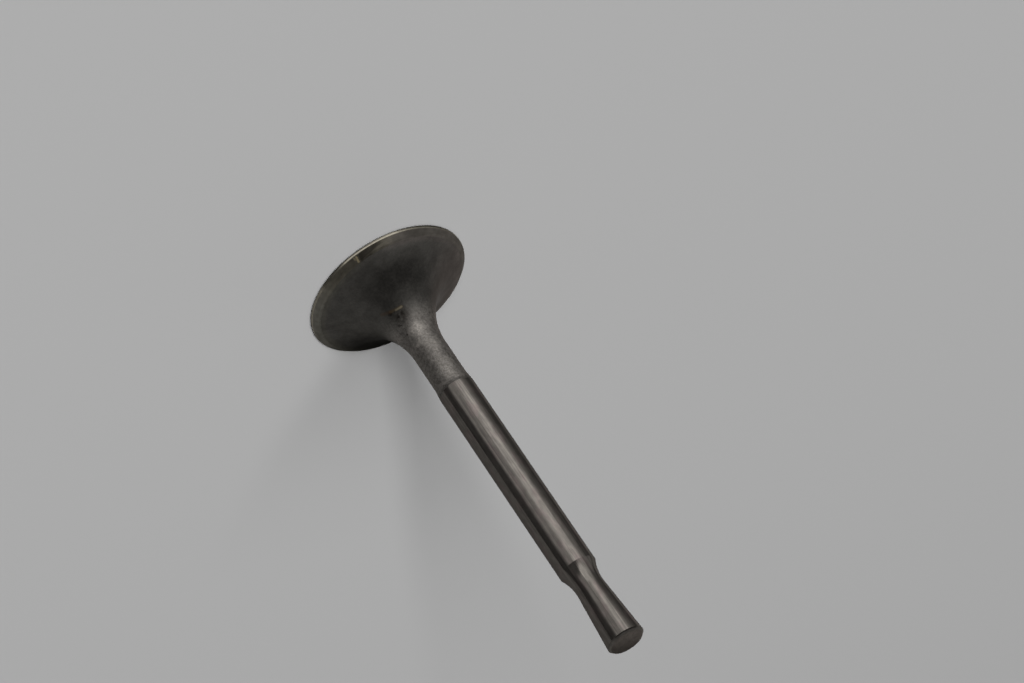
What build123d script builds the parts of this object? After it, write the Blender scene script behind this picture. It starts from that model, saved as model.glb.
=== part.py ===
from build123d import *
import os
from math import acos, atan2, cos, degrees, hypot, radians, sin, sqrt, tan

# Poppet valve of a piston engine, in millimetres.
# One forged, turned and ground piece: a flat-faced head with a conical seat, a tulip throat,
# a neck just slimmer than the stem, a ground stem that runs in a guide, and a long waisted end
# that split collets grip below the tip.
# The origin is the centre of the head's flat face, +Z runs up the stem to the tip.

# Overall
overall_length = 97.2        # face to tip
head_diameter = 36.0         # over the margin
stem_diameter = 8.0          # ground stem, runs in the guide

# Head
face_edge_break = 0.25       # small chamfer where the face meets the margin
margin_height = 0.8          # rim, face to seat
seat_angle = 45.0            # degrees from the face's plane
seat_width = 1.1             # measured along the radius
back_angle = 16.0            # degrees from the face's plane, the cone behind the seat
back_land = 0.3              # least width of that cone, along the radius
throat_radius = 17.3         # fillet from the back cone into the neck

# Neck, from the throat up to the ground stem
neck_undercut = 0.27         # how far the neck lies below the ground stem, on the radius
neck_taper_length = 2.6      # cone from the neck out to the ground stem
ground_start = 30.2          # height at which the ground stem begins
land_edge_break = 0.08       # small chamfer at the ground stem's upper end

# Collet end, from the ground stem's upper end to the tip
collet_end_length = 18.4     # ground stem's upper end to tip
waist_depth = 1.0            # below the ground stem, on the radius
waist_radius = 10.4          # hollow of the waist, seen from the side
tip_relief = 0.02            # tip below the ground stem, on the radius, so that it passes the guide
tip_chamfer_height = 0.55
tip_chamfer_width = 0.5

# Derived radii
head_radius = head_diameter / 2
stem_radius = stem_diameter / 2
neck_radius = stem_radius - neck_undercut
tip_radius = stem_radius - tip_relief

# Derived heights
ground_end = overall_length - collet_end_length


def head_rim():
    """Face, margin and seat, from the axis to the seat's inner edge."""
    seat_inner = (
        head_radius - seat_width,
        margin_height + seat_width * tan(radians(seat_angle)),
    )
    Polyline(
        (0, 0),
        (head_radius - face_edge_break, 0),
        (head_radius, face_edge_break),
        (head_radius, margin_height),
        seat_inner,
    )
    return seat_inner


def tulip_back(seat_inner):
    """Back cone and the throat fillet that turns it into the neck."""
    slope = radians(back_angle)
    # The head has to be wide enough for the fillet, so a narrow head limits it
    widest_fillet = (seat_inner[0] - back_land - neck_radius) / (1 - sin(slope))
    fillet_radius = min(throat_radius, widest_fillet)
    fillet_start_radius = neck_radius + fillet_radius * (1 - sin(slope))
    fillet_start = (
        fillet_start_radius,
        seat_inner[1] + (seat_inner[0] - fillet_start_radius) * tan(slope),
    )
    Line(seat_inner, fillet_start)
    throat = JernArc(
        start=fillet_start,
        tangent=(-cos(slope), sin(slope)),
        radius=fillet_radius,
        arc_size=back_angle - 90,
    )
    return throat @ 1


def neck_and_stem(neck_foot):
    """Neck, its taper and the ground stem, up to the edge where the waist begins."""
    waist_top_edge = (stem_radius - land_edge_break, ground_end)
    Polyline(
        neck_foot,
        (neck_radius, ground_start - neck_taper_length),
        (stem_radius, ground_start),
        (stem_radius, ground_end - land_edge_break),
        waist_top_edge,
    )
    return waist_top_edge


def waist_and_tip(waist_start):
    """Hollow of the waist, the cone that is tangent to it, and the chamfered tip."""
    waist_floor = stem_radius - waist_depth
    hollow_centre_radius = waist_floor + waist_radius
    reach = hollow_centre_radius - waist_start[0]
    rise = sqrt(waist_radius**2 - reach**2)
    hollow_centre_height = waist_start[1] + rise
    tip_edge = (tip_radius, overall_length - tip_chamfer_height)

    # Flare angle, from the axis, of the line through the tip's edge that touches the hollow
    across = hollow_centre_radius - tip_edge[0]
    along = tip_edge[1] - hollow_centre_height
    flare = atan2(along, across) - acos(waist_radius / hypot(along, across))

    entry = atan2(rise, reach)
    hollow = JernArc(
        start=waist_start,
        tangent=(-rise, reach),
        radius=waist_radius,
        arc_size=-degrees(entry + flare),
    )
    Polyline(
        hollow @ 1,
        tip_edge,
        (tip_radius - tip_chamfer_width, overall_length),
        (0, overall_length),
    )


with BuildPart() as valve:
    with BuildSketch(Plane.XZ):
        with BuildLine():
            seat_edge = head_rim()
            neck_foot = tulip_back(seat_edge)
            waist_edge = neck_and_stem(neck_foot)
            waist_and_tip(waist_edge)
            Line((0, overall_length), (0, 0))
        make_face()
    revolve(axis=Axis.Z)

valve.part.label = "valve"
os.makedirs("parts", exist_ok=True)
export_step(valve.part, "parts/valve.step")
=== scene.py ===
from math import acos, atan2, cos, hypot, pi, radians, sin, sqrt, tan

import bmesh
import bpy
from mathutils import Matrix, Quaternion, Vector, noise


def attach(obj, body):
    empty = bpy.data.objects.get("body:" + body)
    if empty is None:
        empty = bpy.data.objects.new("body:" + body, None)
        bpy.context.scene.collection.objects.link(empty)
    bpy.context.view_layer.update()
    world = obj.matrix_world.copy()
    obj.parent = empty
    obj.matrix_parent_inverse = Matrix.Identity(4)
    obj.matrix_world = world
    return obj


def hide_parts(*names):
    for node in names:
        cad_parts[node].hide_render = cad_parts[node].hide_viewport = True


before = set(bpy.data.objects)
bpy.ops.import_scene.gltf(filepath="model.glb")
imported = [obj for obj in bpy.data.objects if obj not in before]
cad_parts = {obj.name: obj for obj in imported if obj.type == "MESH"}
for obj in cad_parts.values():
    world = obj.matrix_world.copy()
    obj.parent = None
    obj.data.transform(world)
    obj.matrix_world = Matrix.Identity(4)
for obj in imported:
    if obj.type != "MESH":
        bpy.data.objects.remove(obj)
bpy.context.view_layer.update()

# A used poppet valve, standing on its head on a pale floor. Its sizes and the marks on it are in
# millimetres, and MM turns them into the scene's metres.
MM = 0.001

# Sizes of the valve, as the CAD part has them
overall_length = 97.2
head_diameter = 36.0
stem_diameter = 8.0
face_edge_break = 0.25
margin_height = 0.8
seat_angle = 45.0
seat_width = 1.1
back_angle = 16.0
throat_radius = 17.3
neck_undercut = 0.27
neck_taper_length = 2.6
ground_start = 30.2
land_edge_break = 0.08
collet_end_length = 18.4
waist_depth = 1.0
waist_radius = 10.4
tip_relief = 0.02
tip_chamfer_height = 0.55
tip_chamfer_width = 0.5

# Softening of the seat's two edges, too small for the CAD part
seat_blend_radius = 1.4
margin_blend_radius = 0.28

head_radius = head_diameter / 2
stem_radius = stem_diameter / 2
neck_radius = stem_radius - neck_undercut
tip_radius = stem_radius - tip_relief
neck_top = (neck_radius, ground_start - neck_taper_length)
ground_end = overall_length - collet_end_length


# ---------------------------------------------------------------- outline of the valve
# Points of the outline are (radius, height). Each section's points leave out the one it starts from.

def line_points(start, end, step):
    """Points along a line, about a step apart."""
    count = max(1, round(hypot(end[0] - start[0], end[1] - start[1]) / step))
    return [
        (start[0] + (end[0] - start[0]) * i / count, start[1] + (end[1] - start[1]) * i / count)
        for i in range(1, count + 1)
    ]


def arc_points(centre, radius, start_angle, end_angle, step):
    """Points along an arc, about a step apart."""
    count = max(4, round(abs(end_angle - start_angle) * radius / step))
    angles = [start_angle + (end_angle - start_angle) * i / count for i in range(1, count + 1)]
    return [(centre[0] + radius * cos(angle), centre[1] + radius * sin(angle)) for angle in angles]


def head_sections():
    """The face, margin, seat and forged back, which runs up the throat and the neck."""
    slope = radians(back_angle)
    seat_slope = radians(seat_angle)
    face_rim = (head_radius - face_edge_break, 0)
    margin_foot = (head_radius, face_edge_break)

    # Softened edge between the margin and the seat
    shoulder = margin_blend_radius * tan(seat_slope / 2)
    margin_end = (head_radius, margin_height - shoulder)
    shoulder_centre = (head_radius - margin_blend_radius, margin_end[1])

    # Softened edge between the seat and the back
    seat_inner = (head_radius - seat_width, margin_height + seat_width * tan(seat_slope))
    blend = seat_blend_radius * tan((seat_slope - slope) / 2)
    seat_end = (seat_inner[0] + blend * cos(seat_slope), seat_inner[1] - blend * sin(seat_slope))
    blend_centre = (
        seat_end[0] - seat_blend_radius * sin(seat_slope),
        seat_end[1] - seat_blend_radius * cos(seat_slope),
    )

    # Fillet from the back's cone into the neck
    throat_start_radius = neck_radius + throat_radius * (1 - sin(slope))
    throat_start = (
        throat_start_radius,
        seat_inner[1] + (seat_inner[0] - throat_start_radius) * tan(slope),
    )
    throat_centre = (neck_radius + throat_radius, throat_start[1] + throat_radius * cos(slope))

    margin = line_points(margin_foot, margin_end, step=0.2)
    margin += arc_points(shoulder_centre, margin_blend_radius, 0, seat_slope, step=0.05)
    seat = line_points(margin[-1], seat_end, step=0.2)
    seat += arc_points(blend_centre, seat_blend_radius, pi / 2 - seat_slope, pi / 2 - slope, step=0.1)
    back = line_points(seat[-1], throat_start, step=0.3)
    back += arc_points(throat_centre, throat_radius, -pi / 2 - slope, -pi, step=0.22)
    back += line_points(back[-1], neck_top, step=0.22)
    return {
        "face": line_points((0, 0), face_rim, step=1.2),
        "edge": line_points(face_rim, margin_foot, step=0.12),
        "margin": margin,
        "seat": seat,
        "back": back,
    }


def stem_sections():
    """The taper from the neck, the ground stem, the waist and the chamfered tip."""
    waist_start = (stem_radius - land_edge_break, ground_end)
    hollow_radius = stem_radius - waist_depth + waist_radius
    reach = hollow_radius - waist_start[0]
    rise = sqrt(waist_radius**2 - reach**2)
    hollow_centre = (hollow_radius, waist_start[1] + rise)
    entry_slope = atan2(rise, reach)

    # Flare angle, from the axis, of the line through the tip's edge that touches the hollow
    tip_edge = (tip_radius, overall_length - tip_chamfer_height)
    across = hollow_centre[0] - tip_edge[0]
    along = tip_edge[1] - hollow_centre[1]
    flare = atan2(along, across) - acos(waist_radius / hypot(along, across))

    ground_foot = (stem_radius, ground_start)
    ground_top = (stem_radius, ground_end - land_edge_break / tan(entry_slope))
    tip_rim = (tip_radius - tip_chamfer_width, overall_length)
    waist = line_points(ground_top, waist_start, step=0.1)
    waist += arc_points(hollow_centre, waist_radius, pi + entry_slope, pi - flare, step=0.3)
    waist += line_points(waist[-1], tip_edge, step=0.6)
    return {
        "taper": line_points(neck_top, ground_foot, step=0.3),
        "stem": line_points(ground_foot, ground_top, step=1.0),
        "waist": waist,
        "tip_chamfer": line_points(tip_edge, tip_rim, step=0.2),
        "tip_face": line_points(tip_rim, (0, overall_length), step=0.5),
    }


# ---------------------------------------------------------------- surface of the valve

SEGMENTS = 320

# A point of the outline that is nearer to the axis than this lies on it
ON_AXIS = 1e-6

# Two sections that meet at more than this angle keep a sharp edge between them
CORNER = radians(6)

# Unevenness of the forged skin, as (bump size, height, shift of the noise along the axis)
RELIEF = ((0.55, 0.010, 0), (1.5, 0.016, 40), (4.0, 0.02, 90))

# The unevenness ends this far short of the seat, and at the foot of the stem's taper. Towards both
# it fades out over a length.
RELIEF_GAP = 0.25
RELIEF_FADE_AT_SEAT = 0.8
RELIEF_FADE_AT_TAPER = 1.0


def grain(x, y, z, size):
    """Smooth noise between -1 and 1 with bumps about this size."""
    return noise.noise(Vector((x / size, y / size, z / size)))


def forged_relief(radius, turn, z):
    """How far the as-forged back and neck stand off their true outline."""
    x = radius * cos(turn)
    y = radius * sin(turn)
    from_seat = head_radius - seat_width - RELIEF_GAP - radius
    from_taper = neck_top[1] - z
    share = min(1.0, max(0.0, from_seat / RELIEF_FADE_AT_SEAT))
    share *= min(1.0, max(0.0, from_taper / RELIEF_FADE_AT_TAPER))
    return share * sum(height * grain(x, y, z + shift, size) for size, height, shift in RELIEF)


def turned_ring(bm, radius, height, forged):
    """A ring of corners about the axis, or a single corner where the outline meets the axis."""
    if radius < ON_AXIS:
        return [bm.verts.new((0, 0, height * MM))]
    ring = []
    for i in range(SEGMENTS):
        turn = 2 * pi * i / SEGMENTS
        here = radius + forged_relief(radius, turn, height) if forged else radius
        ring.append(bm.verts.new((here * cos(turn) * MM, here * sin(turn) * MM, height * MM)))
    return ring


def faces_between(lower, upper):
    """Corners of the faces between two rings, either of which may be a single corner."""
    faces = []
    for here in range(SEGMENTS):
        after = (here + 1) % SEGMENTS
        if len(lower) == 1:
            faces.append((lower[0], upper[after], upper[here]))
        elif len(upper) == 1:
            faces.append((lower[here], lower[after], upper[0]))
        else:
            faces.append((lower[here], lower[after], upper[after], upper[here]))
    return faces


def sharpen_corners(bm):
    """Marks the edges where two sections meet at a corner."""
    bm.normal_update()
    for edge in bm.edges:
        a, b = edge.link_faces
        if a.material_index != b.material_index and a.normal.angle(b.normal, 0) > CORNER:
            edge.smooth = False


def add_object(name, data):
    """A new object in the scene."""
    new = bpy.data.objects.new(name, data)
    bpy.context.scene.collection.objects.link(new)
    return new


def build_valve(sections):
    """The valve's surface, turned about +Z, with one material slot for each section."""
    bm = bmesh.new()
    ring = turned_ring(bm, 0, 0, forged=False)
    for slot, (section, points) in enumerate(sections.items()):
        for radius, height in points:
            upper = turned_ring(bm, radius, height, forged=section == "back")
            for corners in faces_between(ring, upper):
                made = bm.faces.new(corners)
                made.material_index = slot
                made.smooth = True
            ring = upper
    sharpen_corners(bm)
    mesh = bpy.data.meshes.new("valve_surface")
    bm.to_mesh(mesh)
    bm.free()
    return add_object("valve_body", mesh)


# ---------------------------------------------------------------- node helpers

def grey(level):
    return (level, level, level, 1)


BLACK = grey(0)
WHITE = grey(1)


class Nodes:
    """Short way to write a node tree."""

    def __init__(self, tree, output):
        self.tree = tree
        tree.nodes.clear()
        self.surface = self.add(output).inputs["Surface"]

    def add(self, kind, **settings):
        node = self.tree.nodes.new(kind)
        for key, value in settings.items():
            setattr(node, key, value)
        return node

    def put(self, socket, value):
        """Feeds a socket from another node, or sets it to a plain value."""
        if isinstance(value, bpy.types.NodeSocket):
            self.tree.links.new(value, socket)
        else:
            socket.default_value = value

    def math(self, operation, a, b=0.0, c=0.0, clamp=False):
        node = self.add("ShaderNodeMath", operation=operation, use_clamp=clamp)
        for socket, value in zip(node.inputs, (a, b, c)):
            self.put(socket, value)
        return node.outputs[0]

    def times(self, first, *others):
        """All the values multiplied."""
        product = first
        for other in others:
            product = self.math("MULTIPLY", product, other)
        return product

    def highest(self, first, *others):
        """The highest of the values."""
        top = first
        for other in others:
            top = self.math("MAXIMUM", top, other)
        return top

    def hypotenuse(self, a, b):
        """How long the vector (a, b) is."""
        squares = self.math("ADD", self.math("POWER", a, 2.0), self.math("POWER", b, 2.0))
        return self.math("SQRT", squares)

    def vector(self, operation, a, b=(0, 0, 0)):
        node = self.add("ShaderNodeVectorMath", operation=operation)
        self.put(node.inputs[0], a)
        self.put(node.inputs[1], b)
        return node.outputs["Value" if operation in ("DOT_PRODUCT", "LENGTH") else "Vector"]

    def scaled(self, vector, share):
        """A fixed vector, scaled by a value from the nodes."""
        node = self.add("ShaderNodeVectorMath", operation="SCALE")
        self.put(node.inputs[0], vector)
        self.put(node.inputs["Scale"], share)
        return node.outputs[0]

    def ease(self, value, low, high, out_low=0.0, out_high=1.0):
        """Goes smoothly from out_low to out_high as the value goes from low to high."""
        node = self.add("ShaderNodeMapRange", interpolation_type="SMOOTHSTEP")
        names = ("Value", "From Min", "From Max", "To Min", "To Max")
        for name, number in zip(names, (value, low, high, out_low, out_high)):
            self.put(node.inputs[name], number)
        return node.outputs["Result"]

    def curve(self, value, points):
        """A line through (value, result) points."""
        low, high = points[0][0], points[-1][0]
        share = self.add("ShaderNodeMapRange")
        self.put(share.inputs["Value"], value)
        self.put(share.inputs["From Min"], low)
        self.put(share.inputs["From Max"], high)
        ramp = self.add("ShaderNodeValToRGB")
        ramp.color_ramp.interpolation = "LINEAR"
        stops = ramp.color_ramp.elements
        while len(stops) < len(points):
            stops.new(0.5)
        # Each stop is put in its place before any is coloured, so that they keep their order
        for stop, (place, result) in zip(stops, points):
            stop.position = (place - low) / (high - low)
        for stop, (place, result) in zip(stops, points):
            stop.color = grey(result)
        self.put(ramp.inputs["Fac"], share.outputs["Result"])
        return ramp.outputs["Color"]

    def mix(self, factor, a, b, blend="MIX"):
        node = self.add("ShaderNodeMix", data_type="RGBA", blend_type=blend)
        self.put(node.inputs[0], factor)
        self.put(node.inputs[6], a)
        self.put(node.inputs[7], b)
        return node.outputs[2]

    def level(self, value):
        """A value turned into a grey."""
        return self.mix(value, BLACK, WHITE)

    def coat(self, base, mask, colour, strength):
        """The base with a colour over it, as strong as given where the mask is 1."""
        return self.mix(self.times(mask, strength), base, colour)


class Material(Nodes):
    """The node tree of a new material."""

    def __init__(self, name):
        self.material = bpy.data.materials.new(name)
        self.material.use_nodes = True
        super().__init__(self.material.node_tree, "ShaderNodeOutputMaterial")


# ---------------------------------------------------------------- steel

# Tint of what the steel mirrors at a grazing angle
GRAZING_TINT = (0.5, 0.49, 0.48, 1)

# The range that holds most of a noise's values, its middle, and how far it often gets from there
NOISE_LOW = 0.3
NOISE_HIGH = 0.7
NOISE_MIDDLE = 0.5
NOISE_REACH = 0.25

# Which way noise moves a point that wobbles
WOBBLE_WAY = (1, 0.4, -0.8)

# Tints, as shares of red, green and blue
WARM = (1.09, 1.0, 0.90)
BLUSH = (1.17, 1.0, 0.93)
PINKISH = (1.13, 1.0, 0.91)
GOLDEN = (1.09, 1.0, 0.81)
NEUTRAL = (1.05, 1.0, 0.91)
OLIVE = (1.05, 1.0, 0.86)
NECK_TINT = (1.075, 1.0, 0.92)
SEAT_TINT = (1.10, 1.0, 0.80)
SEAT_END_TINT = (1.10, 1.0, 0.88)
TIP_TINT = (1.13, 1.0, 0.89)


class Steel(Material):
    """One steel finish. Lengths are in millimetres and angles in radians."""

    def __init__(self, name):
        super().__init__(name)
        self.shader = self.add("ShaderNodeBsdfPrincipled")
        self.put(self.shader.inputs["Metallic"], 1.0)
        self.put(self.shader.inputs["Specular Tint"], GRAZING_TINT)
        self.put(self.surface, self.shader.outputs[0])
        metres = self.add("ShaderNodeTexCoord").outputs["Object"]
        self.place = self.vector("MULTIPLY", metres, (1 / MM, 1 / MM, 1 / MM))
        split = self.add("ShaderNodeSeparateXYZ")
        self.put(split.inputs[0], self.place)
        self.x, self.y, self.z = split.outputs
        self.radius = self.hypotenuse(self.x, self.y)
        # Angle about the axis from the side that faces -Y, growing towards +X
        self.turn = self.math("ARCTAN2", self.x, self.times(self.y, -1.0))

    def noise(self, size, detail=2.0, roughness=0.5, place=None, shift=0.0):
        """Noise from 0 to 1 with bumps about this size, over the surface unless a place is given."""
        node = self.add("ShaderNodeTexNoise")
        spot = self.place if place is None else place
        if shift:
            spot = self.vector("ADD", spot, (shift, shift, shift))
        self.put(node.inputs["Vector"], spot)
        self.put(node.inputs["Scale"], 1.0 / size)
        self.put(node.inputs["Detail"], detail)
        self.put(node.inputs["Roughness"], roughness)
        return node.outputs["Fac"]

    def marks(self, around, along, detail=2.0, shift=0.0):
        """Noise with marks about this long around the valve and along it."""
        node = self.add("ShaderNodeCombineXYZ")
        girth = self.times(self.turn, self.radius)
        self.put(node.inputs[0], self.math("DIVIDE", girth, around))
        self.put(node.inputs[1], self.math("DIVIDE", self.z, along))
        self.put(node.inputs[2], self.math("DIVIDE", self.radius, along))
        return self.noise(1.0, detail, place=node.outputs[0], shift=shift)

    def spread(self, pattern, low, high):
        """The noise's range stretched to go from low to high."""
        return self.ease(pattern, NOISE_LOW, NOISE_HIGH, low, high)

    def vary(self, value, pattern, share):
        """The value, up to this share of it more or less as the noise goes."""
        return self.times(value, self.spread(pattern, 1 - share, 1 + share))

    def sway(self, value, pattern, reach):
        """The value, up to this much more or less as the noise goes."""
        return self.math("ADD", value, self.spread(pattern, -reach, reach))

    def clouded(self, value):
        """The value with soft clouds, for the small faces."""
        return self.vary(value, self.noise(0.8, detail=3.0), share=0.15)

    def wobble(self, point, reach):
        """The point, moved by noise so that what is drawn about it isn't a plain disc."""
        push = self.times(self.math("SUBTRACT", self.noise(0.3), NOISE_MIDDLE), reach / NOISE_REACH)
        return self.vector("ADD", point, self.scaled(WOBBLE_WAY, push))

    def near(self, point, inner, outer):
        """1 within inner of the point, falling to 0 at outer."""
        gap = self.vector("LENGTH", self.vector("SUBTRACT", self.place, point))
        return self.ease(gap, inner, outer, 1.0, 0.0)

    def near_line(self, start, end, inner, outer):
        """1 within inner of the line from start to end, falling to 0 at outer."""
        axis = Vector(end) - Vector(start)
        rest = self.vector("SUBTRACT", self.place, start)
        projection = self.vector("DOT_PRODUCT", rest, axis)
        share = self.math("DIVIDE", projection, axis.length_squared, clamp=True)
        gap = self.vector("LENGTH", self.vector("SUBTRACT", rest, self.scaled(axis, share)))
        return self.ease(gap, inner, outer, 1.0, 0.0)

    def tinted(self, value, tint):
        return self.mix(1.0, self.level(value), (*tint, 1), blend="MULTIPLY")

    def bump(self, height, depth):
        node = self.add("ShaderNodeBump")
        self.put(node.inputs["Strength"], 1.0)
        self.put(node.inputs["Distance"], depth * MM)
        self.put(node.inputs["Height"], height)
        self.put(self.shader.inputs["Normal"], node.outputs[0])

    def finish(self, colour, roughness):
        self.put(self.shader.inputs["Base Color"], colour)
        self.put(self.shader.inputs["Roughness"], roughness)
        return self.material


def ground_steel(name, brightness, roughness):
    """Ground bright: fine rings, lighter and darker lines along the axis, and a reddish blush."""
    steel = Steel(name)
    rings = steel.marks(around=3.0, along=0.10)
    lines = steel.marks(around=0.20, along=30.0)
    bands = steel.marks(around=0.55, along=60.0, detail=1.0, shift=2.0)
    dark_lines = steel.marks(around=0.20, along=18.0, detail=1.0, shift=9.0)
    cloud = steel.marks(around=0.8, along=2.2, detail=3.0)
    value = steel.vary(brightness, lines, share=0.09)
    # Only the peaks of this noise show, as darker lines
    value = steel.times(value, steel.ease(dark_lines, 0.54, 0.66, 1.03, 0.80))
    value = steel.vary(value, bands, share=0.045)
    value = steel.vary(value, cloud, share=0.12)
    blush = steel.ease(steel.marks(around=1.6, along=4.0, shift=5.0), 0.46, 0.70)
    colour = steel.mix(blush, steel.tinted(value, WARM), steel.tinted(value, BLUSH))
    steel.bump(rings, depth=0.0006)
    return steel.finish(colour, steel.sway(roughness, rings, reach=0.03))


# ---------------------------------------------------------------- forged back and neck

# Greys and roughness of the dark skin on the back and of the brighter neck. The skin gives way to
# the neck from the height of SKIN_TOP to that of NECK_FOOT.
SKIN_GREY = 0.145
NECK_GREY = 0.325
SKIN_ROUGHNESS = 0.44
NECK_ROUGHNESS = 0.58
SKIN_TOP = 8.0
NECK_FOOT = 14.0

# The skin has a paler border towards the rim, painted light, which sets in between two radii. Its own
# tint is olive one way and reddish the other, and further round that way the whole skin is reddish.
BORDER_RADII = (15.0, 16.2)
OLIVE_BORDER_TURNS = (-0.1, 0.3)
REDDISH_BORDER_TURNS = (-0.1, -0.5)
REDDISH_SKIN_TURNS = (-0.9, -1.7)

# Painted light: a paler stretch of the skin lies about one turn. It fades out to either side of it,
# and sets in between two radii.
PAINTED_LIGHT_GREY = 0.29
PAINTED_LIGHT_TURN = -0.27
PAINTED_LIGHT_FADE = (0.15, 0.65)
PAINTED_LIGHT_RADII = (11.5, 13.5)

# A painted highlight as a pale patch low on the neck, and the dull ring where the stem's grinding runs
# out
NECK_HIGHLIGHT_GREY = 0.62
NECK_HIGHLIGHT_TOP = (1.2, -3.7, 17.3)
NECK_HIGHLIGHT_FOOT = (0.0, -4.15, 14.8)
RUN_OUT_START = ground_start - 1.1
RUN_OUT_END = ground_start - 0.2
RUN_OUT_DULLNESS = 0.38

# Marks where the throat meets the neck. Pits are (point, inner reach, outer reach).
STAIN = (0.9, -5.6, 10.8)
STAIN_COLOUR = (0.050, 0.042, 0.033, 1)
PITS = (
    ((2.10, -3.68, 14.5), 0.05, 0.34),
    ((1.54, -5.33, 11.0), 0.10, 0.50),
    ((2.60, -5.80, 9.6), 0.15, 0.60),
    ((0.40, -5.60, 10.8), 0.05, 0.50),
    ((2.30, -4.46, 12.2), 0.05, 0.35),
    ((3.14, -3.29, 13.3), 0.05, 0.32),
)
PIT_COLOUR = (0.028, 0.023, 0.019, 1)

# The scuff, its palest part and the brown tail before it
SCUFF_START = (2.3, -6.15, 9.35)
SCUFF_END = (-0.25, -6.22, 9.80)
SCUFF_COLOUR = (0.28, 0.21, 0.13, 1)
CORE_START = (1.15, -6.2, 9.72)
CORE_COLOUR = (0.62, 0.54, 0.38, 1)
TAIL_START = (4.2, -5.9, 8.6)
TAIL_COLOUR = (0.20, 0.115, 0.055, 1)


def forged_grey(steel, neck, border, fine, grains):
    """Brightness of the forged skin, with painted light and a painted highlight in it."""
    level = steel.mix(neck, grey(SKIN_GREY), grey(NECK_GREY))
    # Painted highlight: a pale patch low on the neck
    neck_highlight = steel.near_line(NECK_HIGHLIGHT_TOP, NECK_HIGHLIGHT_FOOT, inner=0.4, outer=2.2)
    level = steel.coat(level, neck_highlight, grey(NECK_HIGHLIGHT_GREY), strength=0.45)
    # Painted light on a stretch of the skin
    off_painted_light = steel.math("ABSOLUTE", steel.math("SUBTRACT", steel.turn, PAINTED_LIGHT_TURN))
    painted_light = steel.ease(off_painted_light, *PAINTED_LIGHT_FADE, 1.0, 0.0)
    painted_light = steel.times(painted_light, steel.ease(steel.radius, *PAINTED_LIGHT_RADII))
    level = steel.coat(level, painted_light, grey(PAINTED_LIGHT_GREY), strength=0.3)
    # Painted light on the border, up to 18 percent paler
    value = steel.times(level, steel.ease(border, 0.0, 1.0, 1.0, 1.18))
    value = steel.vary(value, steel.noise(2.6, detail=3.0, shift=7.0), share=0.14)

    # Faint grain on the skin, stronger speckles on the neck
    faint = steel.vary(steel.spread(fine, 0.94, 1.06), grains, share=0.12)
    speckled = steel.vary(steel.spread(fine, 0.80, 1.20), grains, share=0.28)
    value = steel.times(value, steel.mix(neck, faint, speckled))
    dull = steel.times(steel.ease(steel.z, RUN_OUT_START, RUN_OUT_END), RUN_OUT_DULLNESS)
    return steel.times(value, steel.math("SUBTRACT", 1.0, dull))


def forged_colour(steel, value, neck, border):
    """Tints of the forged skin. Its border is olive towards +X and reddish towards -X, and further
    round that way all of it is reddish."""
    reddish = steel.times(border, steel.ease(steel.turn, *REDDISH_BORDER_TURNS), 0.7)
    reddish = steel.highest(reddish, steel.ease(steel.turn, *REDDISH_SKIN_TURNS))
    olive = steel.times(border, steel.ease(steel.turn, *OLIVE_BORDER_TURNS))
    skin = steel.mix(olive, steel.tinted(value, NEUTRAL), steel.tinted(value, OLIVE))
    colour = steel.mix(neck, skin, steel.tinted(value, NECK_TINT))
    return steel.mix(reddish, colour, steel.tinted(value, PINKISH))


def throat_marks(steel, colour):
    """The colour with the stain, the pits and the scuff over it."""
    patchy = steel.ease(steel.noise(0.9, detail=3.0, shift=3.0), 0.30, 0.62, 0.25, 1.0)
    stain = steel.times(steel.near(STAIN, inner=0.5, outer=2.7), patchy)
    colour = steel.coat(colour, stain, STAIN_COLOUR, strength=0.74)
    for point, inner, outer in PITS:
        pit = steel.near(steel.wobble(point, reach=0.25), inner, outer)
        colour = steel.coat(colour, pit, PIT_COLOUR, strength=0.7)
    worn = steel.ease(steel.noise(0.3, shift=11.0), 0.30, 0.55, 0.35, 1.0)
    scuff = steel.times(steel.near_line(SCUFF_START, SCUFF_END, inner=0.05, outer=0.5), worn)
    colour = steel.coat(colour, scuff, SCUFF_COLOUR, strength=0.75)
    core = steel.near_line(CORE_START, SCUFF_END, inner=0.02, outer=0.32)
    colour = steel.coat(colour, core, CORE_COLOUR, strength=0.85)
    tail = steel.near_line(TAIL_START, SCUFF_START, inner=0.1, outer=0.6)
    return steel.coat(colour, tail, TAIL_COLOUR, strength=0.35)


def forged_steel():
    """As forged: a dark skin on the head's back, brighter and more speckled on the neck."""
    steel = Steel("forged_steel")
    fine = steel.noise(0.26)
    grains = steel.noise(0.60, detail=3.0, roughness=0.6)
    neck = steel.ease(steel.z, SKIN_TOP, NECK_FOOT)
    border = steel.ease(steel.radius, *BORDER_RADII)
    value = forged_grey(steel, neck, border, fine, grains)
    colour = throat_marks(steel, forged_colour(steel, value, neck, border))
    roughness = steel.mix(neck, grey(SKIN_ROUGHNESS), grey(NECK_ROUGHNESS))
    steel.bump(steel.math("ADD", steel.times(fine, 0.5), grains), depth=0.03)
    return steel.finish(colour, steel.sway(roughness, grains, reach=0.05))


# ---------------------------------------------------------------- seat

SEAT_GREY = 0.25
SEAT_ROUGHNESS = 0.36

# Turns and radii between which painted shade sets in: at one end of the seat, and at its inner
# edge in the crease with the back
SHADED_END_TURNS = (-1.1, -1.6)
CREASE_SHADE_RADII = (17.1, 16.5)

# The painted highlight beside the wedge, as the turns between which it sets in at each end
LIT_FIRST_TURNS = (-0.22, -0.36)
LIT_LAST_TURNS = (-0.62, -0.46)

# Turns between which the tint changes, towards +X and towards -X
OLIVE_SEAT_TURNS = (0.4, 1.0)
SEAT_END_TURNS = (-0.2, -0.5)

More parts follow.
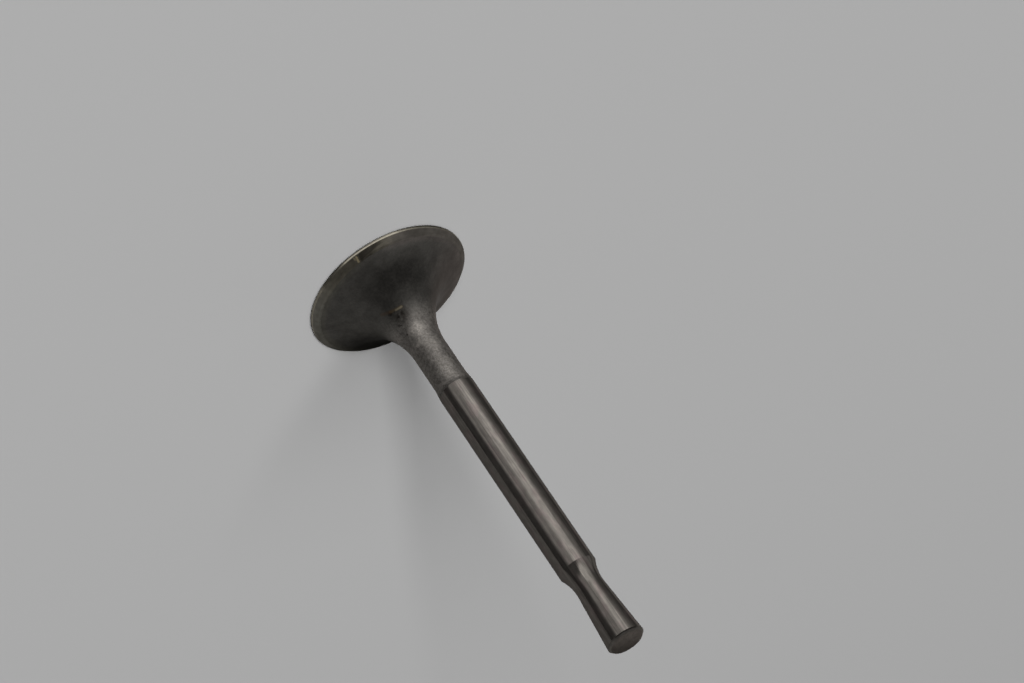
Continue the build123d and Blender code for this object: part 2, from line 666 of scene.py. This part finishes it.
# The scorched wedge lies against the margin. Its inner edge has this radius where the turn is 0, and
# the taper is how far that radius moves in a radian of turn. The wedge ends sharply where it is wide
# and fades in from its narrow end, each between two turns.
WEDGE_RADIUS = 16.95
WEDGE_TAPER = -2.2
WEDGE_SOFTNESS = 0.18
WEDGE_WIDE_END = (0.07, 0.09)
WEDGE_NARROW_END = (-0.34, -0.14)

# The yellowish mark, as strokes of (start, end, reach, strength), and how much less metallic it is
YELLOW_MARK = (
    ((1.77, -17.62, 1.1), (1.88, -16.78, 1.88), 0.36, 1.0),
    ((2.35, -17.62, 1.02), (2.25, -17.3, 1.34), 0.26, 0.6),
)
YELLOW_COLOUR = (0.33, 0.275, 0.165, 1)
YELLOW_DULLNESS = 0.22


def scorched_wedge(steel):
    """1 inside the dark wedge."""
    ragged = steel.sway(steel.turn, steel.noise(0.5), reach=0.02)
    inner_edge = steel.math("MULTIPLY_ADD", ragged, WEDGE_TAPER, WEDGE_RADIUS)
    past_edge = steel.math("SUBTRACT", steel.radius, inner_edge)
    outside = steel.ease(past_edge, -WEDGE_SOFTNESS, WEDGE_SOFTNESS)
    wide_end = steel.ease(ragged, *WEDGE_WIDE_END, 1.0, 0.0)
    return steel.times(outside, wide_end, steel.ease(ragged, *WEDGE_NARROW_END))


def seat_grey(steel, rings):
    """Brightness of the seat, with painted shade towards -X and at its inner edge, and a painted
    highlight in a paler stretch beside the wedge."""
    value = steel.vary(SEAT_GREY, rings, share=0.08)
    value = steel.times(value, steel.spread(steel.noise(1.2, detail=3.0), 0.85, 1.12))
    # Painted shade at one end of the seat and at its inner edge, in the crease with the back
    value = steel.times(value, steel.ease(steel.turn, *SHADED_END_TURNS, 1.0, 0.64))
    value = steel.times(value, steel.ease(steel.radius, *CREASE_SHADE_RADII, 1.0, 0.80))
    # Painted highlight on a stretch beside the wedge
    lit = steel.ease(steel.turn, *LIT_FIRST_TURNS)
    lit = steel.times(lit, steel.ease(steel.turn, *LIT_LAST_TURNS))
    value = steel.times(value, steel.ease(lit, 0.0, 1.0, 1.0, 1.14))
    return steel.times(value, steel.ease(scorched_wedge(steel), 0.0, 1.0, 1.15, 0.6))


def seat_steel():
    """The ground seat: rings from the stone, a scorched wedge and a yellowish mark."""
    steel = Steel("seat_steel")
    rings = steel.marks(around=6.0, along=0.12)
    value = seat_grey(steel, rings)
    olive = steel.ease(steel.turn, *OLIVE_SEAT_TURNS)
    colour = steel.mix(olive, steel.tinted(value, SEAT_TINT), steel.tinted(value, OLIVE))
    end = steel.ease(steel.turn, *SEAT_END_TURNS)
    colour = steel.mix(end, colour, steel.tinted(value, SEAT_END_TINT))
    metal = 1.0
    for start, stop, reach, strength in YELLOW_MARK:
        mark = steel.times(steel.near_line(start, stop, inner=0.06, outer=reach), strength)
        colour = steel.coat(colour, mark, YELLOW_COLOUR, strength=0.9)
        metal = steel.math("SUBTRACT", metal, steel.times(mark, YELLOW_DULLNESS))
    steel.put(steel.shader.inputs["Metallic"], metal)
    steel.bump(rings, depth=0.0008)
    # The stone's marks run round the seat, so they spread a highlight across it
    steel.put(steel.shader.inputs["Anisotropic"], 1.0)
    steel.put(steel.shader.inputs["Anisotropic Rotation"], 0.25)
    return steel.finish(colour, SEAT_ROUGHNESS)


# ---------------------------------------------------------------- small faces

# Grain of the broken edge and the tip's face
GRAIN_SIZE = 0.15
GRAIN_DEPTH = 0.004
GRAIN_SWAY = 0.04

EDGE_GREY = 0.035
EDGE_ROUGHNESS = 0.4

# The margin's foot gives way to its edge between two heights. Painted light makes the foot brighter
# between two turns, the edge has a painted glint that sets in at both its ends, and past it painted
# light makes the edge brighter again.
MARGIN_ROUGHNESS = 0.2
MARGIN_EDGE_HEIGHTS = (0.35, 0.72)
BRIGHT_FOOT_TURNS = (0.1, 0.6)
GLINT_FIRST_TURNS = (-0.15, 0.05)
GLINT_LAST_TURNS = (0.35, 0.2)
BRIGHT_EDGE_TURNS = (0.9, 1.3)

# Heights between which the tip's chamfer gets dull
CHAMFER_DULL_HEIGHTS = (overall_length - 0.44, overall_length - 0.25)

# The tip's face gets darker in one direction, from one distance along it to another
TIP_ROUGHNESS = 0.3
TIP_DARKER_WAY = (0.5, 0.87, 0.0)
TIP_DARKER_SPAN = (-2.6, 3.6)
TIP_GREYS = (0.165, 0.085)


def margin_steel():
    """The head's outermost face: darker at its foot, with a painted highlight along the edge where the
    seat begins.
    """
    steel = Steel("margin_steel")
    # Painted light brightens the foot towards +X
    foot = steel.mix(steel.ease(steel.turn, *BRIGHT_FOOT_TURNS), grey(0.17), grey(0.38))
    # Painted glint along the edge, and more painted light on the edge past it
    glint = steel.ease(steel.turn, *GLINT_FIRST_TURNS)
    glint = steel.times(glint, steel.ease(steel.turn, *GLINT_LAST_TURNS))
    edge = steel.mix(glint, grey(0.42), grey(0.8))
    edge = steel.mix(steel.ease(steel.turn, *BRIGHT_EDGE_TURNS), edge, grey(0.58))
    value = steel.clouded(steel.mix(steel.ease(steel.z, *MARGIN_EDGE_HEIGHTS), foot, edge))
    return steel.finish(steel.tinted(value, GOLDEN), MARGIN_ROUGHNESS)


def edge_steel():
    """The dark broken edge of the face."""
    steel = Steel("edge_steel")
    fine = steel.noise(GRAIN_SIZE)
    steel.bump(fine, GRAIN_DEPTH)
    roughness = steel.sway(EDGE_ROUGHNESS, fine, GRAIN_SWAY)
    return steel.finish(steel.tinted(steel.clouded(EDGE_GREY), WARM), roughness)


def chamfer_steel():
    """The tip's chamfer: dark along the stem's edge, dull towards the tip's face."""
    steel = Steel("tip_chamfer_steel")
    dull = steel.ease(steel.z, *CHAMFER_DULL_HEIGHTS)
    value = steel.clouded(steel.mix(dull, grey(0.15), grey(0.26)))
    return steel.finish(steel.tinted(value, WARM), steel.mix(dull, grey(0.3), grey(0.6)))


def tip_steel():
    """The stem's end face, darker towards one side."""
    steel = Steel("tip_face_steel")
    fine = steel.noise(GRAIN_SIZE)
    across = steel.vector("DOT_PRODUCT", steel.place, TIP_DARKER_WAY)
    value = steel.clouded(steel.ease(across, *TIP_DARKER_SPAN, *TIP_GREYS))
    value = steel.vary(value, fine, share=0.08)
    steel.bump(fine, GRAIN_DEPTH)
    return steel.finish(steel.tinted(value, TIP_TINT), steel.sway(TIP_ROUGHNESS, fine, GRAIN_SWAY))


FINISHES = {
    "face": lambda: ground_steel("face_steel", brightness=0.18, roughness=0.3),
    "edge": edge_steel,
    "margin": margin_steel,
    "seat": seat_steel,
    "back": forged_steel,
    "taper": forged_steel,
    "stem": lambda: ground_steel("stem_steel", brightness=0.205, roughness=0.13),
    "waist": lambda: ground_steel("waist_steel", brightness=0.20, roughness=0.15),
    "tip_chamfer": chamfer_steel,
    "tip_face": tip_steel,
}


# ---------------------------------------------------------------- what the metal mirrors

# In the photograph the valve lies on its side on a pale table, so here the table stands upright beside
# it: a card that only reflections see, which touches the head's rim and the tip. TABLE_UP points from
# it over the valve. Lengths on the table are in metres.
TABLE_UP = Vector((-0.380, -0.914, -0.143)).normalized()
TABLE_ALONG = (Vector((0, 0, 1)) - TABLE_UP.z * TABLE_UP).normalized()
TABLE_ACROSS = TABLE_UP.cross(TABLE_ALONG)
TABLE_GAP = 0.0001
TABLE_REACH = 2
TABLE_GREY = 0.42

# Where the rim touches the table
RIM_SIDE = Vector((-TABLE_UP.x, -TABLE_UP.y, 0)).normalized()
TABLE_TOUCH = (head_radius * RIM_SIDE + Vector((0, 0, margin_height))) * MM

# Places on the table, along and across it from where the rim touches: how far to one side the
# contact's painted shadow lies, and the centre of a spot of painted shadow
CONTACT_SHIFT = 0.003
SHADOW_SPOT = (0.028, 0.036)

# Soft patches of the room, as (direction of the middle, cosine where the patch begins, cosine where
# it is full, brightness): a lamp, the ceiling straight above the table, and a pale wall
PATCHES = (
    (Vector((-0.52, -0.655, -0.545)).normalized(), 0.955, 0.998, 1.15),
    (Vector((-0.40, -0.90, -0.15)).normalized(), 0.905, 0.96, 1.12),
    (Vector((-0.99, 0.0, 0.10)).normalized(), 0.88, 0.98, 0.30),
)

# Brightness of the room on the picture's left, towards +X, and on its right, towards -X, by how
# steeply a direction rises from the table: 0 is level with it and 1 is straight up
LEFT_SIDE = [
    (0.0, 0.07),
    (0.33, 0.08),
    (0.5, 0.11),
    (0.56, 0.22),
    (0.66, 0.5),
    (0.83, 0.47),
    (1.0, 0.6),
]
RIGHT_SIDE = [
    (0.0, 0.11),
    (0.22, 0.12),
    (0.41, 0.165),
    (0.565, 0.24),
    (0.69, 0.38),
    (0.78, 0.57),
    (0.88, 0.66),
    (1.0, 0.80),
]

# The dark shape of who took the photo, and how much it leans to one side
PERSON_GREY = 0.12
PERSON_LEAN = 1.19

# Grey of the floor and of the plain backdrop that the camera sees
PAPER_GREY = 0.45


def table_shade(nodes, along, across):
    """Painted shadow on the glowing table, most of all where the rim touches it and in its far parts.
    """
    touch = nodes.hypotenuse(along, nodes.math("ADD", across, CONTACT_SHIFT))
    contact = nodes.ease(touch, 0.004, 0.0195, 0.95, 0.0)
    dim_side = nodes.ease(across, -0.010, 0.012, 0.48, 0.0)
    dim_length = nodes.ease(along, 0.008, 0.02, 0.03, 0.12)
    far_side = nodes.ease(across, 0.035, 0.09, 0.0, 0.5)
    far_end = nodes.ease(along, 0.06, 0.22, 0.0, 0.86)
    # A spot of painted shadow
    off_shadow_spot = nodes.hypotenuse(
        nodes.math("SUBTRACT", along, SHADOW_SPOT[0]),
        nodes.math("SUBTRACT", across, SHADOW_SPOT[1]),
    )
    shadow_spot = nodes.ease(off_shadow_spot, 0.004, 0.016, 0.42, 0.0)
    return nodes.highest(contact, dim_side, dim_length, far_end, far_side, shadow_spot)


def table_glow():
    """The table's material, a painted reflection that shines as bright as the lit table would look."""
    nodes = Material("table_glow")
    position = nodes.add("ShaderNodeNewGeometry").outputs["Position"]
    place = nodes.vector("SUBTRACT", position, TABLE_TOUCH)
    along = nodes.vector("DOT_PRODUCT", place, TABLE_ALONG)
    across = nodes.vector("DOT_PRODUCT", place, TABLE_ACROSS)
    bright = nodes.math("SUBTRACT", 1.0, table_shade(nodes, along, across))
    glow = nodes.add("ShaderNodeEmission")
    nodes.put(glow.inputs["Color"], nodes.level(nodes.times(bright, TABLE_GREY)))
    nodes.put(nodes.surface, glow.outputs[0])
    return nodes.material


def table_card():
    mesh = bpy.data.meshes.new("table_card")
    corners = [
        TABLE_TOUCH + TABLE_REACH * (a * TABLE_ALONG + b * TABLE_ACROSS) - TABLE_GAP * TABLE_UP
        for a, b in ((-1, -1), (1, -1), (1, 1), (-1, 1))
    ]
    mesh.from_pydata(corners, [], [(0, 1, 2, 3)])
    mesh.materials.append(table_glow())
    card = add_object("table_card", mesh)
    card.visible_camera = False
    card.visible_diffuse = False
    card.visible_transmission = False
    card.visible_volume_scatter = False
    card.visible_shadow = False


def room(nodes):
    """Brightness of the dim room above the table, by the direction that the metal mirrors."""
    direction = nodes.add("ShaderNodeTexCoord").outputs["Generated"]
    rise = nodes.vector("DOT_PRODUCT", direction, TABLE_UP)
    side = nodes.vector("DOT_PRODUCT", direction, (1, 0, 0))
    front = nodes.vector("DOT_PRODUCT", direction, (0, 0, 1))
    left = nodes.curve(rise, LEFT_SIDE)
    right = nodes.curve(rise, RIGHT_SIDE)
    level = nodes.mix(nodes.ease(side, 0.0, -0.28), left, right)
    for middle, begin, full, brightness in PATCHES:
        towards = nodes.vector("DOT_PRODUCT", direction, middle)
        level = nodes.mix(nodes.ease(towards, begin, full), level, grey(brightness))

    # The dark wall in front, and the person
    wall = nodes.ease(side, -0.2, 0.2, 0.03, 0.08)
    level = nodes.mix(nodes.ease(front, 0.35, 0.75), level, nodes.level(wall))
    lean = nodes.math("ADD", front, nodes.times(side, PERSON_LEAN))
    person = nodes.times(nodes.ease(lean, -0.26, 0.17), nodes.ease(front, -0.36, 0.06))
    person = nodes.times(person, nodes.ease(rise, 0.3, 0.5))
    level = nodes.mix(person, level, grey(PERSON_GREY))

    # Nothing shines from below the table
    return nodes.mix(nodes.ease(rise, 0.0, 0.02), BLACK, level)


def studio():
    """The world: the metal mirrors the room, and the camera sees a plain backdrop."""
    world = bpy.data.worlds.new("studio")
    bpy.context.scene.world = world
    world.use_nodes = True
    nodes = Nodes(world.node_tree, "ShaderNodeOutputWorld")
    mirrored = nodes.add("ShaderNodeBackground")
    nodes.put(mirrored.inputs["Color"], room(nodes))
    plain = nodes.add("ShaderNodeBackground")
    nodes.put(plain.inputs["Color"], grey(PAPER_GREY))
    choose = nodes.add("ShaderNodeMixShader")
    nodes.put(choose.inputs[0], nodes.add("ShaderNodeLightPath").outputs["Is Camera Ray"])
    nodes.put(choose.inputs[1], mirrored.outputs[0])
    nodes.put(choose.inputs[2], plain.outputs[0])
    nodes.put(nodes.surface, choose.outputs[0])


# ---------------------------------------------------------------- floor, lamps and camera, in metres

# The floor lies this far below the valve's face, so that the two don't flicker
FLOOR_GAP = 0.00005
FLOOR_REACH = 2.0

# Lamps for the floor, which don't show in the metal: name, place, width, height and power
LAMPS = (
    ("key", (-0.9, -4.96, 3.2), 1.1, 4.0, 290.0),
    ("side", (-1.5, -2.1, 4.2), 1.8, 1.8, 95.0),
    ("top", (-0.4, 2.0, 4.6), 4.0, 4.0, 38.0),
)
LAMP_AIM = Vector((0, 0, 0.02))

# The photograph's viewing angle, about 33 degrees above the head's plane, with the tip towards
# the picture's lower right
CAMERA_PLACE = Vector((0.0, -0.50417, 0.325105))
CAMERA_AIM = Vector((-0.0148423, -0.0004642, 0.027976))
CAMERA_ROLL = radians(145.064)
CAMERA_LENS = 101.18
CAMERA_SENSOR = 36


def floor():
    mesh = bpy.data.meshes.new("floor")
    bm = bmesh.new()
    bmesh.ops.create_grid(bm, x_segments=1, y_segments=1, size=FLOOR_REACH)
    bm.to_mesh(mesh)
    bm.free()
    nodes = Material("floor_paper")
    shader = nodes.add("ShaderNodeBsdfDiffuse")
    nodes.put(shader.inputs["Color"], grey(PAPER_GREY))
    nodes.put(nodes.surface, shader.outputs[0])
    mesh.materials.append(nodes.material)
    plane = add_object("floor", mesh)
    plane.location.z = -FLOOR_GAP
    plane.visible_glossy = False


def soft_lamp(name, place, width, height, power):
    data = bpy.data.lights.new(name, "AREA")
    data.shape = "RECTANGLE"
    data.size = width
    data.size_y = height
    data.energy = power
    lamp = add_object(name, data)
    lamp.location = place
    lamp.rotation_mode = "QUATERNION"
    lamp.rotation_quaternion = (LAMP_AIM - Vector(place)).to_track_quat("-Z", "Y")
    lamp.visible_glossy = False


def camera():
    data = bpy.data.cameras.new("camera")
    data.lens = CAMERA_LENS
    data.sensor_width = CAMERA_SENSOR
    data.clip_start = 0.01
    data.clip_end = 20
    cam = add_object("camera", data)
    cam.location = CAMERA_PLACE
    cam.rotation_mode = "QUATERNION"
    level = (CAMERA_AIM - CAMERA_PLACE).to_track_quat("-Z", "Y")
    cam.rotation_quaternion = level @ Quaternion((0, 0, 1), CAMERA_ROLL)
    bpy.context.scene.camera = cam


# ---------------------------------------------------------------- the scene

sections = head_sections() | stem_sections()
valve = build_valve(sections)
for section in sections:
    valve.data.materials.append(FINISHES[section]())
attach(valve, "root")
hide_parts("valve")

studio()
floor()
table_card()
for lamp in LAMPS:
    soft_lamp(*lamp)
camera()
bpy.context.scene.view_settings.view_transform = "Standard"
